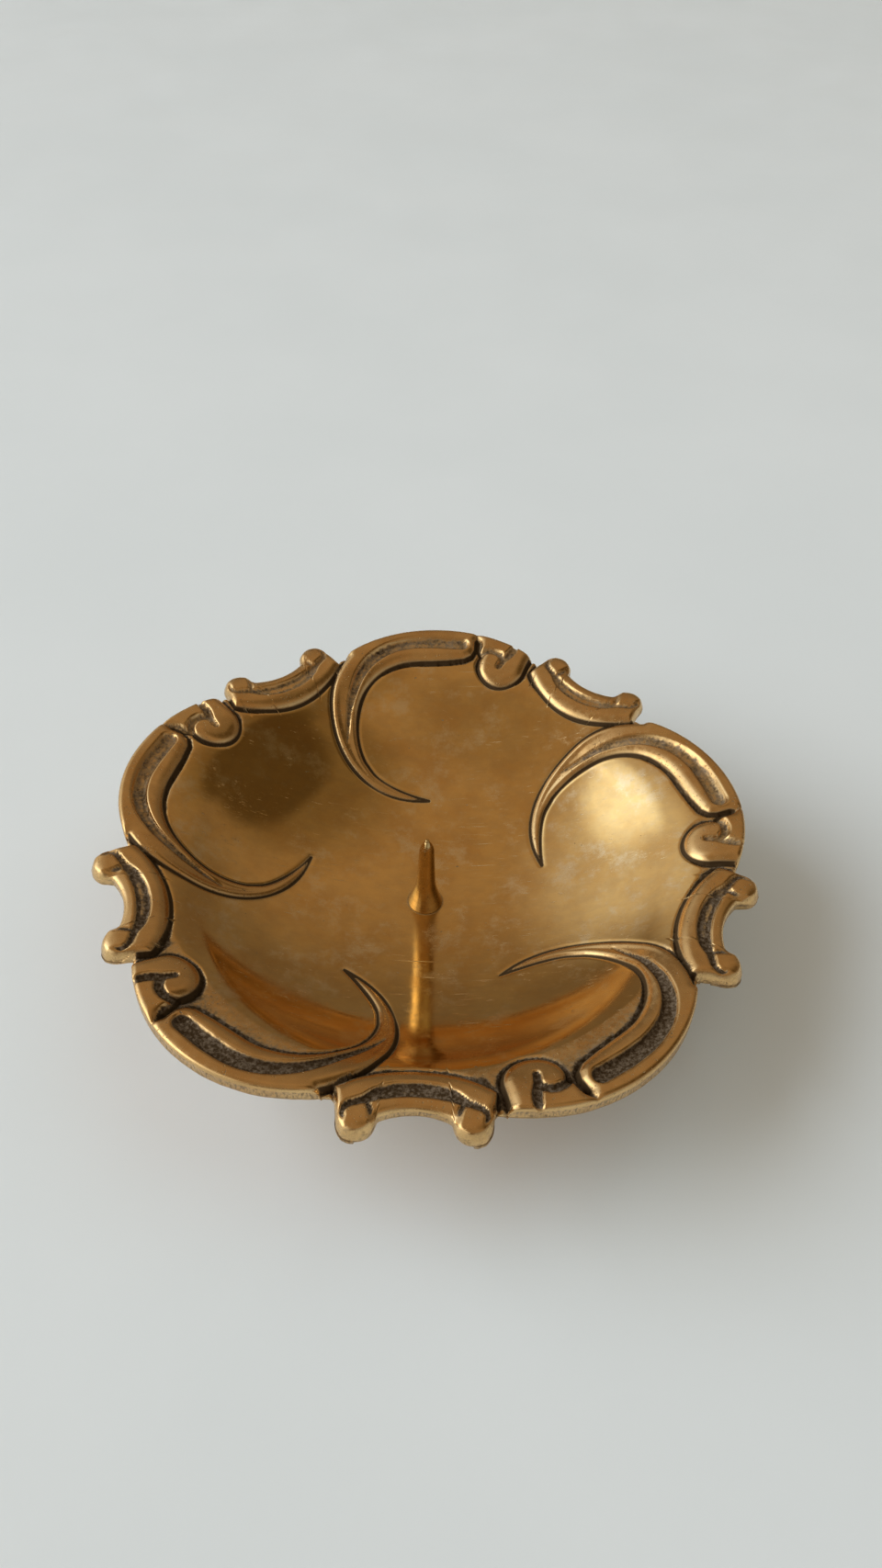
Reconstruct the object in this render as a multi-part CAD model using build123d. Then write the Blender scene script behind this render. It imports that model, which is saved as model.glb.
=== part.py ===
"""Pricket candle dish: a shallow cast brass dish whose rim has five scrolled lobes with C-scroll
brackets between them. A turned pricket stands in the middle and is held under the dish by a washer
and a nut. A turned foot ring, soldered to the belly of the dish, lifts it off the table.

Frame: millimetres, +Z up, origin at the centre of the foot ring's underside, on the table.
The axis of the pricket is Z. Lobe 0 points along +Y, and the others follow anticlockwise.
"""

import os
from math import asin, cos, radians, sin, sqrt

from build123d import *

# ---- Driving dimensions ---------------------------------------------------------------------
LOBES = 5
STEP = 360 / LOBES

# Dish
dish_radius = 58.9          # axis to the crest of a lobe
bowl_radius = 84.0          # spherical middle of the bowl
bowl_reach = 28.0           # axis to where the bowl's side rises more steeply
rise_radius = 48.0          # radius of that steeper side
rise_reach = 42.0           # axis to where it turns over into the flared lip
lip_radius = 27.2           # radius of the lip's turn-over
wall = 2.4                  # thickness of the casting
belly_height = 3.8          # table to the lowest point of the casting
body_inset = 5.9            # crest of a lobe to the round body between the lobes
relief_tighter = 3.0        # bowl's radius less the ornament's, which meet at the bowl's floor
relief_rise_tighter = 2.5   # the same for the steeper side
relief_lip_tighter = 1.6    # and for the turn-over, so that the ornament stands proud all the way
relief_root = 1.2           # how deep the ornament is rooted in the wall

# Lobe, in a frame at its own centre with +Y radial
lobe_radius = 27.8
lobe_lean = -3.1            # degrees that the lobe's centre stands off the motif's axis
crescent_centre = (-4.8, 9.3)
crescent_radius = 17.8
crest_corner = (-18.3, 15.2)  # the crescent fills the lobe above and to the right of this
pool_centre = (-3.4, 5.9)
pool_radius = 12.4
pool_turn = 222.0           # degrees where the crescent's inner edge leaves the pool's circle
pool_start = (9.9, 19.3)    # inner edge of the crescent beside the volute
tail_tip = (-1.7, -8.45)
tail_bend = (-7.3, -6.0)
groove_inset = 4.7          # rim to the middle of the groove
groove_start = 77.0         # degrees from the lobe's +X to the groove's closed end
groove_turn = 135.0         # degrees where the groove leaves the rim
groove_width = 3.3
groove_tip = (-18.7, 3.0)
groove_bow = (1.5, 1.1)     # how far the groove's two long edges bow out towards its tip
volute_centre = (12.3, 18.5)
volute_radius = 4.8
volute_slot = 1.1           # width of the hooked cut in the volute
volute_hook = 2.4           # outer radius of that cut
volute_gap = 1.0            # cut between the crescent's head and the rim ridge past it
rim_band = 3.2              # width of the ridge that follows the rim past the crescent
rim_low = 12.0              # how far down the lobe's side that ridge runs

# C-scroll bracket, centred outside the rim
bracket_angle = 35.5        # degrees from the lobe's axis to the bracket's axis
bracket_offset = 6.9        # crest radius to the bracket's centre
notch_radius = 12.2         # concave outer edge
outer_ridge = 2.5           # width of the ridge along the concave edge
bracket_groove = 1.3        # gap between the two ridges
inner_ridge = 3.9           # width of the thick ridge
bracket_sweep = 38.0        # half-angle of the bracket
groove_sweep = 33.0         # half-angle of the gap
head_inset = 2.9            # crest radius to the centre of a scroll head
head_angle = 8.9            # degrees from the bracket's axis to a scroll head
head_radius = 2.9

# Pricket
pricket_height = 17.4       # above its seat in the bowl
point_length = 3.2          # the blunt, rounded point
point_radius = 1.38
shaft_drop = 7.0            # tip to the middle of the nearly straight shaft
shaft_radius = 1.55
waist_height = 5.4          # seat to where the shaft begins to flare
waist_radius = 1.85
flare_radius = 3.2
flare_edge = 0.9            # height of the flare's rounded foot
flare_tuck = 0.45           # how far that foot turns in under the flare
thread_radius = 2.0
tail_past_nut = 0.5
tail_chamfer = 0.4

# Fasteners and foot
hole_clearance = 0.15
seat_margin = 0.1           # spot face beyond what sits on it
spot_depth = 0.15           # how deep the spot faces cut into the casting
washer_radius = 4.5
washer_thickness = 0.8
nut_across_flats = 7.0
nut_thickness = 2.2
nut_clearance = 0.05        # radial gap between the nut and the plain thread cylinder
foot_outer = 19.8
foot_width = 4.0
foot_chamfer = 0.5
foot_cove = 1.1             # depth of the hollow turned round the foot's outside

# ---- Derived places ---------------------------------------------------------------------------
bowl_floor = belly_height + wall
bowl_centre_z = bowl_floor + bowl_radius
seat_z = bowl_floor - spot_depth
under_seat_z = belly_height + spot_depth
bracket_centre_r = dish_radius + bracket_offset
skin_reach = 2 * dish_radius                       # every skin runs flat to here
tall = 4 * (belly_height + wall + dish_radius)     # taller than anything, for through cuts


def leans(ball, rise):
    """How far the bowl leans, in radians, where its side begins to rise and where it turns over."""
    low = asin(bowl_reach / ball)
    return low, asin(sin(low) + (rise_reach - bowl_reach) / rise)


def skin(ball, rise, lip, floor, low, high):
    """One surface of the dish, as points in the XZ plane: ball, side and lip arcs, then flat."""
    points = [(0, floor)]
    for radius, start, end in ((ball, 0, low), (rise, low, high), (-lip, high, 0)):
        x, z = points[-1]
        centre = (x - radius * sin(start), z + radius * cos(start))
        points += [
            (centre[0] + radius * sin(lean), centre[1] - radius * cos(lean))
            for lean in ((start + end) / 2, end)
        ]
    return [*points, (skin_reach, points[-1][1])]


def bowl_skin(depth):
    """The bowl's inside surface, or one parallel to it further down in the wall."""
    return skin(bowl_radius + depth, rise_radius + depth, lip_radius - depth, bowl_floor - depth,
                *leans(bowl_radius, rise_radius))


def relief_skin():
    """The top of the ornament."""
    ball = bowl_radius - relief_tighter
    rise = rise_radius - relief_rise_tighter
    return skin(ball, rise, lip_radius - relief_lip_tighter, bowl_floor, *leans(ball, rise))


def between(up, low):
    """The solid of revolution between two skins."""
    def edges(points):
        return [ThreePointArc(*points[i:i + 3]) for i in (0, 2, 4)] + [Line(*points[6:])]

    ends = [Line(up[0], low[0]), Line(up[-1], low[-1])]
    return revolve(Plane.XZ * make_face([*edges(up), *edges(low), *ends]), Axis.Z)


def prism(face):
    """A plan face made into a cutter taller than the dish."""
    return extrude(face, tall / 2, both=True)


def all_round(faces):
    """Plan faces joined, and repeated at every lobe."""
    plan = Sketch()
    for i in range(LOBES):
        for face in faces:
            plan += Rot(Z=i * STEP) * face
    return plan


def lobe_place():
    """Motif axis +Y, origin at the lobe's centre."""
    reach = dish_radius - lobe_radius
    return Pos(-reach * sin(radians(lobe_lean)), reach * cos(radians(lobe_lean)))


def bracket_place():
    """Bracket axis +Y, origin at the bracket's centre."""
    return Rot(Z=bracket_angle) * Pos(0, bracket_centre_r)


def patch(low, high):
    """A rectangle between two corners."""
    return Pos((low[0] + high[0]) / 2, (low[1] + high[1]) / 2) * Rectangle(
        high[0] - low[0], high[1] - low[1])


def sector(radius, half_angle):
    """A pie slice about the origin, opening towards -Y."""
    a, b = radians(-90 - half_angle), radians(-90 + half_angle)
    p, q = (radius * cos(a), radius * sin(a)), (radius * cos(b), radius * sin(b))
    return make_face([Line((0, 0), p), ThreePointArc(p, (0, -radius), q), Line(q, (0, 0))])


def band(inner, outer, half_angle):
    """A curved strip of the bracket."""
    return (Circle(outer) - Circle(inner)) & sector(2 * outer, half_angle)


def groove_face():
    """The long groove between the crescent's two ridges: round at one end, pointed at the other."""
    a, b = radians(groove_start), radians(groove_turn)
    mid = (a + b) / 2
    half = groove_width / 2
    middle = lobe_radius - groove_inset

    def at(radius, angle):
        return (radius * cos(angle), radius * sin(angle))

    def bend(start, bow):
        return ((start[0] + groove_tip[0]) / 2 - bow, (start[1] + groove_tip[1]) / 2)

    out, into = middle + half, middle - half
    end = at(middle, a - half / middle)
    return make_face([
        ThreePointArc(at(out, a), at(out, mid), at(out, b)),
        ThreePointArc(at(out, b), bend(at(out, b), groove_bow[0]), groove_tip),
        ThreePointArc(groove_tip, bend(at(into, b), groove_bow[1]), at(into, b)),
        ThreePointArc(at(into, b), at(into, mid), at(into, a)),
        ThreePointArc(at(into, a), end, at(out, a)),
    ])


def pool_face():
    """Everything inside the crescent: its left edge is the crescent's inner edge."""
    far = 3 * lobe_radius
    cx, cy = pool_centre
    turn = radians(pool_turn)
    top = (cx, cy + pool_radius)
    low = (cx + pool_radius * cos(turn), cy + pool_radius * sin(turn))
    return make_face([
        Line(pool_start, top),
        ThreePointArc(top, (cx - pool_radius, cy), low),
        ThreePointArc(low, tail_bend, tail_tip),
        Line(tail_tip, (far, tail_tip[1])),
        Line((far, tail_tip[1]), (far, far)),
        Line((far, far), (pool_start[0], far)),
        Line((pool_start[0], far), pool_start),
    ])


def crescent_face():
    """The raised crescent of one lobe, from the volute round to its tip in the bowl."""
    crest = Circle(lobe_radius) & patch(crest_corner, (pool_start[0], lobe_radius))
    disc = Pos(*crescent_centre) * Circle(crescent_radius)
    return crest + disc - pool_face() - groove_face()


def volute_face():
    """The curl at the crescent's head, with its hooked cut, and the rim ridge above it."""
    side = patch((0, -volute_radius), (volute_radius, volute_radius))
    hook = (Circle(volute_hook) - Circle(volute_hook - volute_slot)) & side
    curl = Circle(volute_radius) - hook
    beyond = patch((pool_start[0] + volute_gap, rim_low), (lobe_radius, lobe_radius))
    rim = (Circle(lobe_radius) - Circle(lobe_radius - rim_band)) & beyond
    return Pos(*volute_centre) * curl + rim


def bracket_plate():
    """The plan of a whole bracket, between its concave edge and its convex edge."""
    return band(notch_radius, notch_radius + outer_ridge + bracket_groove + inner_ridge, bracket_sweep)


def bracket_face():
    """The two curved ridges of a C-scroll bracket, joined at their ends."""
    groove_in = notch_radius + outer_ridge
    return bracket_plate() - band(groove_in, groove_in + bracket_groove, groove_sweep)


def head_faces():
    """The two scroll heads of one bracket, placed in the motif's frame."""
    return [
        Rot(Z=bracket_angle + side * head_angle) * Pos(0, dish_radius - head_inset)
        * Circle(head_radius)
        for side in (-1, 1)
    ]


def outline():
    """The dish's plan: body, lobes, brackets and scroll heads, less the brackets' concave edges."""
    notch = all_round([bracket_place() * Circle(notch_radius)])
    lobes = all_round([lobe_place() * Circle(lobe_radius)])
    edge = all_round([bracket_place() * bracket_plate(), *head_faces()])
    return Circle(dish_radius - body_inset) + lobes - notch + edge


def ornament():
    """Everything raised, in plan."""
    return all_round([
        lobe_place() * crescent_face(),
        lobe_place() * volute_face(),
        bracket_place() * bracket_face(),
        *head_faces(),
    ])


def make_dish():
    """The casting: shell, raised ornament, spot faces and the hole for the pricket's tail."""
    dish = between(bowl_skin(0), bowl_skin(wall)) & prism(outline())
    dish += between(relief_skin(), bowl_skin(relief_root)) & prism(ornament() & outline())
    hole = Cylinder(thread_radius + hole_clearance, tall)
    upper = Pos(0, 0, seat_z) * Cylinder(
        flare_radius + seat_margin, tall, align=(Align.CENTER, Align.CENTER, Align.MIN))
    lower = Pos(0, 0, under_seat_z) * Cylinder(
        washer_radius + seat_margin, tall, align=(Align.CENTER, Align.CENTER, Align.MAX))
    return dish - hole - upper - lower


def make_pricket():
    """A turned spike with a flared foot, and below it the tail that passes through the dish."""
    tip = seat_z + pricket_height
    tail_end = under_seat_z - washer_thickness - nut_thickness - tail_past_nut
    point = (point_radius, tip - point_length)
    shaft = (shaft_radius, tip - shaft_drop)
    waist = (waist_radius, seat_z + waist_height)
    flare = (flare_radius, seat_z + flare_edge)
    foot = flare_radius - flare_tuck
    profile = [
        ThreePointArc((0, tip), (0.68 * point_radius, tip - 0.3 * point_length), point),
        Spline(point, shaft, waist, flare, tangents=[(0.08, -1), (0.35, -1)]),
        ThreePointArc(flare, (flare_radius - flare_tuck / 4, seat_z + flare_edge / 2), (foot, seat_z)),
        Line((foot, seat_z), (thread_radius, seat_z)),
        Line((thread_radius, seat_z), (thread_radius, tail_end + tail_chamfer)),
        Line((thread_radius, tail_end + tail_chamfer), (thread_radius - tail_chamfer, tail_end)),
        Line((thread_radius - tail_chamfer, tail_end), (0, tail_end)),
        Line((0, tail_end), (0, tip)),
    ]
    return revolve(Plane.XZ * make_face(profile), Axis.Z)


def make_foot_ring():
    """A turned ring with a coved outside, whose top is a saddle that fits the belly."""
    belly_ball = bowl_radius + wall

    def belly(r):
        return bowl_centre_z - sqrt(belly_ball**2 - r**2)

    foot_inner = foot_outer - foot_width
    top_in, top_out = (foot_inner, belly(foot_inner)), (foot_outer, belly(foot_outer))
    mid_r = (foot_inner + foot_outer) / 2
    low_out = (foot_outer, foot_chamfer)
    cove = (foot_outer - foot_cove, (top_out[1] + foot_chamfer) / 2)
    profile = [
        ThreePointArc(top_in, (mid_r, belly(mid_r)), top_out),
        ThreePointArc(top_out, cove, low_out),
        Line(low_out, (foot_outer - foot_chamfer, 0)),
        Line((foot_outer - foot_chamfer, 0), (foot_inner + foot_chamfer, 0)),
        Line((foot_inner + foot_chamfer, 0), (foot_inner, foot_chamfer)),
        Line((foot_inner, foot_chamfer), top_in),
    ]
    return revolve(Plane.XZ * make_face(profile), Axis.Z)


def make_washer():
    """A plain washer, up against the spot face under the dish."""
    ring = Circle(washer_radius) - Circle(thread_radius + hole_clearance)
    return Pos(0, 0, under_seat_z - washer_thickness) * extrude(ring, washer_thickness)


def make_nut():
    """A thin hexagon nut with its corners turned down on both faces."""
    bottom = under_seat_z - washer_thickness - nut_thickness
    hexagon = RegularPolygon(nut_across_flats / 2, 6, major_radius=False)
    body = extrude(hexagon - Circle(thread_radius + nut_clearance), nut_thickness)
    corner = nut_across_flats / 2 / cos(radians(30))
    turned = chamfer(Cylinder(corner, nut_thickness, align=(Align.CENTER, Align.CENTER, Align.MIN))
                     .edges(), length=0.3, length2=corner - nut_across_flats / 2)
    return Pos(0, 0, bottom) * (body & turned)


PARTS = {
    "dish": make_dish,
    "pricket": make_pricket,
    "foot_ring": make_foot_ring,
    "washer": make_washer,
    "nut": make_nut,
}

if __name__ == "__main__":
    os.makedirs("parts", exist_ok=True)
    for name, make in PARTS.items():
        export_step(make(), f"parts/{name}.step")
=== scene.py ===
"""The looks of the pricket candle dish: the casting's ornament, its finish, the turned pieces and the set.

Lengths are in millimetres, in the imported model's own axes, until a mesh is made. Lobe 0 points along
+Y and the ornament of one lobe, its motif, repeats every fifth of a turn.
"""

import math

import bpy
import numpy as np
from mathutils import Matrix, Vector


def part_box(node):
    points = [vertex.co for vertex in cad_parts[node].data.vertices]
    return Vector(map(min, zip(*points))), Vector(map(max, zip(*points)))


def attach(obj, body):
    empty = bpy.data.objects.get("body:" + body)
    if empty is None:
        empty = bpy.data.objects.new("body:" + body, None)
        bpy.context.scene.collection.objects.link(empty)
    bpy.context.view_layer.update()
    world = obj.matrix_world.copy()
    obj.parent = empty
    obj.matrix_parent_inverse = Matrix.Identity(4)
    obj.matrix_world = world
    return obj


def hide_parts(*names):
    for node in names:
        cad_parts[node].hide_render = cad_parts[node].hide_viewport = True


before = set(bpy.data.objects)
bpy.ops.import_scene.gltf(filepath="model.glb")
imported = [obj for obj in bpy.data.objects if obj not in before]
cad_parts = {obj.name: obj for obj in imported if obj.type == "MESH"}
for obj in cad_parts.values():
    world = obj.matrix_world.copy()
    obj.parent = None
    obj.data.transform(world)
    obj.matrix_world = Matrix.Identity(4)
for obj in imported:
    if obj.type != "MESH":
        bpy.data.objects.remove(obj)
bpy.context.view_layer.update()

MM = 0.001


def box(node):
    """A CAD node's lowest and highest corners in millimetres."""
    low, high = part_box(node)
    return np.array(low) / MM, np.array(high) / MM


foot_low, foot_high = box("foot_ring")
pricket_low, pricket_high = box("pricket")
washer_low, washer_high = box("washer")

# ---- The casting's shape, close to the CAD model's -----------------------------------------------
LOBES = 5
STEP = math.tau / LOBES
DISH_RADIUS = 58.9
BOWL_RADIUS = 84.0
BOWL_REACH = 28.0
RISE_RADIUS = 48.0
RISE_REACH = 42.0
LIP_RADIUS = 27.2
WALL = 2.4
BOWL_FLOOR = 6.2
HOLE_RADIUS = 2.15
SEAT_RADIUS = 2.9
SEAT_DEPTH = 0.15

LOBE_RADIUS = 27.8
LOBE_CENTRE = (1.68, 31.05)
CRESCENT_CENTRE = (-3.0, 40.7)
CRESCENT_RADIUS = 17.6
POOL_CENTRE = (-2.1, 37.0)
POOL_RADIUS = 12.95
VOLUTE_CENTRE = (14.3, 49.3)
VOLUTE_RADIUS = 4.95
BODY_RADIUS = 52.9

BRACKET_TURN = math.radians(35.5)
BRACKET_REACH = 65.8
NOTCH_RADIUS = 12.2
BRACKET_RADIUS = 19.9
BRACKET_HALF = math.radians(38.0)
BRACKET_SPLAY = math.radians(2.2)   # how much wider it gets for each mm towards its centre
HEAD_REACH = 56.0
HEAD_TURN = math.radians(8.9)
HEAD_RADIUS = 2.9
HEAD_END = 8.1                      # where the heads end, from the centre of the bracket's curve
HEAD_ACROSS = 8.66                  # the heads' middle, across and ahead of that centre
HEAD_AHEAD = 10.47

# ---- Relief --------------------------------------------------------------------------------------
RELIEF = 0.95               # ornament over the bowl, at the rim
RELIEF_TIP = 0.22           # the same at a crescent's tip
VALLEY = 0.95               # how far the cast ground near the rim lies below the turned bowl
CREASE = 0.60               # depth of the narrow cast crease along the ornament
TURNED_FRONT = 0.14         # how deep the lathe cut at the front
TURNED_BACK = 1.0           # and at the back, where it ran out of true
BRACKET_DROOP = 1.0         # how far the brackets hang below the lobes
EDGE_ROUND = 0.9            # rounding of the rim's top edge
EDGE_BREAK = 0.45           # rounding of its bottom edge

COLUMNS = 1500
ROW_PITCH = 0.30
FINE_FROM = 20              # the rows are that close from here out
NEAR_RIM = 45               # the rim's rounding is looked for from here out

THREAD_RADIUS = 2.0
THREAD_ROOT = 1.78
THREAD_PITCH = 0.35


# ---- Small tools ---------------------------------------------------------------------------------
def smooth(low, high, x):
    """0 below low, 1 above high, and an even S between."""
    t = np.clip((x - low) / (high - low), 0.0, 1.0)
    return t * t * (3 - 2 * t)


def noise(x, y, size, seed):
    """Smooth random heights from -1 to 1, in cells of the given size."""
    u, v = x / size, y / size
    i, j = np.floor(u).astype(np.int64), np.floor(v).astype(np.int64)
    s, t = u - i, v - j
    s, t = s * s * (3 - 2 * s), t * t * (3 - 2 * t)

    def corner(a, b):
        h = (a * 374761393 + b * 668265263 + seed * 974634777) & 0xFFFFFFFF
        h = ((h ^ (h >> 13)) * 1274126177) & 0xFFFFFFFF
        return ((h ^ (h >> 16)) & 0xFFFF) / 32767.5 - 1.0

    low = corner(i, j) * (1 - s) + corner(i + 1, j) * s
    high = corner(i, j + 1) * (1 - s) + corner(i + 1, j + 1) * s
    return low * (1 - t) + high * t


def spline(points, steps=8):
    """A smooth line through the points."""
    p = np.array(points, float)
    p = np.vstack([2 * p[0] - p[1], p, 2 * p[-1] - p[-2]])
    t = np.linspace(0, 1, steps, endpoint=False)[:, None]
    line = [0.5 * (2 * b + (c - a) * t + (2 * a - 5 * b + 4 * c - d) * t**2
                   + (3 * b - a - 3 * c + d) * t**3)
            for a, b, c, d in zip(p, p[1:], p[2:], p[3:])]
    return np.vstack([*line, p[-2:-1]])


def arc(centre, radius, start, end, steps=28):
    """Points along a circle, angles in degrees."""
    a = np.radians(np.linspace(start, end, steps))
    return np.column_stack([centre[0] + radius * np.cos(a), centre[1] + radius * np.sin(a)])


def nearest(x, y, line):
    """Distance from each point to a line, and how far along it the nearest place is, from 0 to 1."""
    best, along = np.full(x.shape, 1e9), np.zeros(x.shape)
    steps = np.diff(line, axis=0)
    lengths = np.hypot(steps[:, 0], steps[:, 1])
    gone = 0.0
    for (ax, ay), (dx, dy), length in zip(line, steps, lengths):
        t = np.clip(((x - ax) * dx + (y - ay) * dy) / length**2, 0, 1)
        d = np.hypot(x - ax - t * dx, y - ay - t * dy)
        closer = d < best
        best = np.where(closer, d, best)
        along = np.where(closer, (gone + t * length) / lengths.sum(), along)
        gone += length
    return best, along


def depth_inside(x, y, ring):
    """Distance to a closed outline, positive inside it."""
    within = np.zeros(x.shape, bool)
    for (ax, ay), (bx, by) in zip(ring, np.roll(ring, -1, axis=0)):
        if ay != by:
            within ^= ((ay > y) != (by > y)) & (x < (bx - ax) * (y - ay) / (by - ay) + ax)
    distance, _ = nearest(x, y, np.vstack([ring, ring[:1]]))
    return np.where(within, distance, -distance)


def turned(x, y, angle):
    """Points turned anticlockwise about the axis."""
    c, s = math.cos(angle), math.sin(angle)
    return x * c - y * s, x * s + y * c


def union(a, b, blend):
    """The larger of two depths, with the inner corner between them rounded."""
    h = np.clip(0.5 + 0.5 * (a - b) / blend, 0, 1)
    return b + (a - b) * h + blend * h * (1 - h)


# ---- The dish's plan -----------------------------------------------------------------------------
def bracket_polar(x, y):
    """Distance from a bracket's centre, and the angle off its axis."""
    u, v = turned(x, y, -BRACKET_TURN)
    return np.hypot(u, v - BRACKET_REACH), np.arctan2(u, BRACKET_REACH - v)


def heads():
    """The centres of a bracket's two scroll heads."""
    for side in (-1, 1):
        a = math.pi / 2 + BRACKET_TURN + side * HEAD_TURN
        yield HEAD_REACH * math.cos(a), HEAD_REACH * math.sin(a)


def bracket_depth(x, y):
    """How deep inside a bracket's plan each point lies, its concave edge left open."""
    reach, angle = bracket_polar(x, y)
    half = BRACKET_HALF + BRACKET_SPLAY * (BRACKET_RADIUS - reach)
    depth = np.minimum(BRACKET_RADIUS - reach, reach * (half - np.abs(angle)))
    depth = np.minimum(depth, reach * np.cos(angle) - HEAD_END)
    for hx, hy in heads():
        depth = union(depth, HEAD_RADIUS - np.hypot(x - hx, y - hy), 0.5)
    return depth


def plan_depth(x, y):
    """How deep inside the dish's outline each point of the first motif lies."""
    depth = BODY_RADIUS - np.hypot(x, y)
    turns = [turned(x, y, k * STEP) for k in (-1, 0, 1)]
    for u, v in turns:
        depth = union(depth, LOBE_RADIUS - np.hypot(u - LOBE_CENTRE[0], v - LOBE_CENTRE[1]), 0.8)
    for u, v in turns:
        depth = union(depth, bracket_depth(u, v), 0.6)
    for u, v in turns:
        reach, _ = bracket_polar(u, v)
        depth = np.minimum(depth, reach - NOTCH_RADIUS)
        for hx, hy in heads():
            depth = union(depth, HEAD_RADIUS - np.hypot(u - hx, v - hy), 0.7)
    return depth


def to_first_motif(x, y):
    """Each point turned back to the first motif's share of the dish."""
    lobe = np.floor((np.arctan2(y, x) - math.pi / 2) / STEP + 0.5)
    c, s = np.cos(-lobe * STEP), np.sin(-lobe * STEP)
    return x * c - y * s, x * s + y * c


def outline():
    """Radius of the dish's edge in each column's direction."""
    per_motif = COLUMNS // LOBES
    a = math.pi / 2 + STEP * (np.arange(per_motif) / per_motif - 0.5)
    r = np.linspace(BODY_RADIUS - 4, DISH_RADIUS + 2, 360)
    depth = plan_depth(np.cos(a)[:, None] * r, np.sin(a)[:, None] * r)
    last = r.size - 1 - np.argmax(depth[:, ::-1] > 0, axis=1)
    column = np.arange(per_motif)
    here, past = depth[column, last], depth[column, last + 1]
    return np.tile(r[last] + (r[1] - r[0]) * here / (here - past), LOBES)


# ---- The dish's ornament -------------------------------------------------------------------------
def crescent_ring():
    """Outline of a lobe's crescent, left open to the rim."""
    return np.vstack([
        [(14.0, 70.0), (10.2, 57.8), (8.9, 55.6), (8.8, 53.2), (8.1, 51.7), (6.6, 50.8), (3.0, 50.3)],
        arc(POOL_CENTRE, POOL_RADIUS, 90, 212),
        spline([(-13.08, 30.14), (-10.7, 27.6), (-7.3, 25.7), (-3.2, 24.2), (0.1, 23.3)])[1:],
        arc(CRESCENT_CENTRE, CRESCENT_RADIUS, 280, 148)[1:],
        [(-24.0, 56.0), (-10.0, 75.0)],
    ])


def head_ring():
    """Outline of the curled head between a crescent and the next bracket."""
    return np.vstack([
        [(5.0, 70.0), (8.0, 58.0), (9.5, 55.6), (9.3, 53.5)],
        arc(VOLUTE_CENTRE, VOLUTE_RADIUS, 150, 330),
        [(20.2, 50.7), (30.0, 64.0)],
    ])


GROOVE = [(5.9, 54.6), (0.0, 54.8), (-4.9, 54.3), (-9.2, 52.6), (-12.6, 49.7), (-14.8, 46.2),
          (-16.1, 42.4), (-16.8, 38.5), (-16.9, 33.0)]
CURL = [(9.3, 51.8), (11.2, 52.7), (13.4, 52.2), (14.5, 50.5), (13.6, 48.7)]
PARTING = [(9.0, 57.3), (9.9, 54.6), (9.3, 51.4)]
LEAF = [(17.6, 55.0), (16.6, 52.7), (15.4, 51.1), (14.4, 50.0)]
BRACKET_GROOVE = [(0.0, 15.5), (2.2, 15.35), (4.3, 14.9), (5.8, 14.37), (7.35, 13.45), (8.7, 12.85),
                  (10.0, 12.25), (10.7, 11.2), (10.5, 10.2)]
NICK = [(7.1, 12.8), (6.6, 11.4), (6.5, 9.8)]


def trough(x, y, line, halves, depths):
    """Depth of a flat-bottomed cut along a line, whose half-width and depth are given at even steps."""
    distance, along = nearest(x, y, spline(line))
    half = np.interp(along, np.linspace(0, 1, len(halves)), halves)
    depth = np.interp(along, np.linspace(0, 1, len(depths)), depths)
    return depth * (1 - smooth(0.45, 1.0, distance / half))


def shoulder(depth, width):
    """0 at a raised shape's edge, rising over a rounded shoulder to 1 further in."""
    return 1 - np.clip(1 - depth / width, 0, 1) ** 2.3


def bracket_plate(x, y, full):
    """Depth inside a bracket's plan, the height of its ridges and heads, and the depth of its cuts."""
    depth = bracket_depth(x, y)
    reach, angle = bracket_polar(x, y)
    across, ahead = np.abs(reach * np.sin(angle)), reach * np.cos(angle)
    from_head = np.hypot(across - HEAD_ACROSS, ahead - HEAD_AHEAD)
    head = smooth(3.0, 2.0, from_head)
    sunk = 0.30 * smooth(15.2, 14.2, reach) + 0.30 * smooth(14.6, 12.2, reach)
    height = full * (shoulder(depth, 2.0) - sunk * (1 - head) + 0.10 * smooth(2.2, 0.0, from_head))
    cut = trough(across, ahead, BRACKET_GROOVE, [1.55, 1.55, 1.5, 1.4, 1.15, 0.8, 0.65, 0.55, 0.4],
                 [1.0, 1.0, 1.0, 0.95, 0.9, 0.85, 0.8, 0.65, 0.3])
    nick = trough(across, ahead, NICK, [0.5, 0.5, 0.3], [0.5, 0.4, 0.1])
    return depth, height, np.maximum(cut, nick)


def motif_relief(x, y):
    """How deep inside one motif's ornament each point is in plan, its height over the bowl, its cuts."""
    full = RELIEF_TIP + (RELIEF - RELIEF_TIP) * smooth(20, 44, np.hypot(x, y))
    crescent = depth_inside(x, y, crescent_ring())
    head = depth_inside(x, y, head_ring())
    parting = trough(x, y, PARTING, [0.3, 0.5, 0.55], [0.1, 0.7, 0.8])
    groove = trough(x, y, GROOVE, [1.85, 1.9, 1.8, 1.65, 1.5, 1.25, 0.95, 0.55, 0.25],
                    [1.15, 1.2, 1.2, 1.15, 1.1, 0.95, 0.75, 0.45, 0.15])
    curl = trough(x, y, CURL, [0.85, 0.95, 0.95, 0.75], [0.9, 1.1, 1.1, 0.8])
    leaf = trough(x, y, LEAF, [0.5, 0.95, 1.05, 0.8], [0.2, 0.8, 1.0, 0.9])
    dished = 0.5 * smooth(0.7, 1.9, crescent) * smooth(47, 36, y)
    layers = [
        (crescent, full * (shoulder(crescent, 2.0) - dished), np.maximum(groove, parting)),
        (head, full * shoulder(head, 2.0), np.maximum(np.maximum(curl, leaf), parting)),
        bracket_plate(x, y, full),
    ]
    return deepest(layers)


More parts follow.
